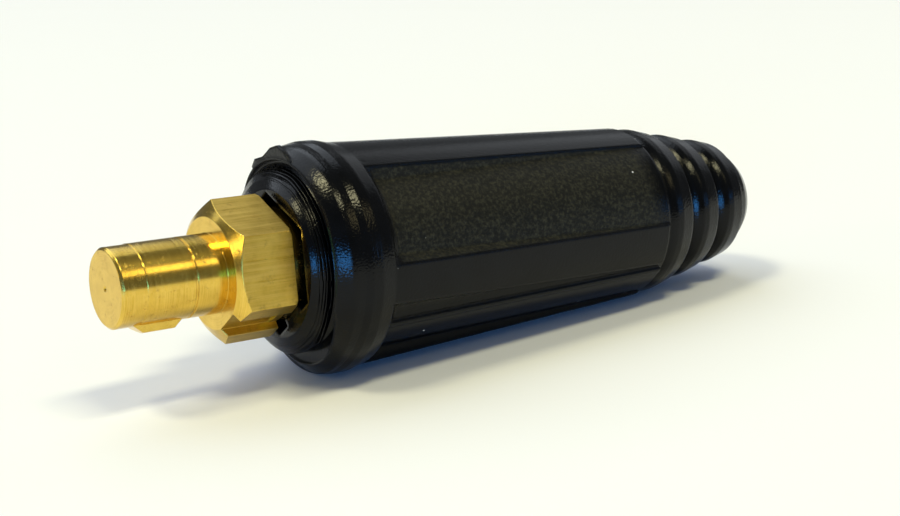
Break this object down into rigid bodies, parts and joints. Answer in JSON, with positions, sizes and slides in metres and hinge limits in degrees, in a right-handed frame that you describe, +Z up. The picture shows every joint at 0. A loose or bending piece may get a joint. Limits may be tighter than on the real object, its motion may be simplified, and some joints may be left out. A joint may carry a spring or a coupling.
{
  "type": "male cable connector",
  "caption": "Brass bayonet pin with a hexagon and a cable barrel, sliding in a tapered black rubber sleeve with sunken panels and tail rings.",
  "frame": {"origin": "centre of the hexagon's front shoulder, where the pin starts, on the contact's axis", "axes": "+X along the contact's axis towards the cable, +Z up with the sleeve lying on its side"},
  "size_m": [0.0893, 0.0268, 0.0267],
  "materials": {
    "brass": "satin turned and milled",
    "steel": "plain machined",
    "rubber": "moulded, soft sheen"
  },
  "bodies": {
    "sleeve": {"insulating_sleeve": "rubber"},
    "contact": {"contact_body": "brass"},
    "screw": {"clamp_screw": "steel"}
  },
  "joints": [
    {"name": "contact_slide", "type": "slide", "parent": "sleeve", "child": "contact", "axis": [-1, 0, 0], "range_m": [-0.008, 0.019]},
    {"name": "clamp_screw_travel", "type": "slide", "parent": "contact", "child": "screw", "axis": [0, 0.3633, -0.9317], "range_m": [0, 0.001]}
  ]
}
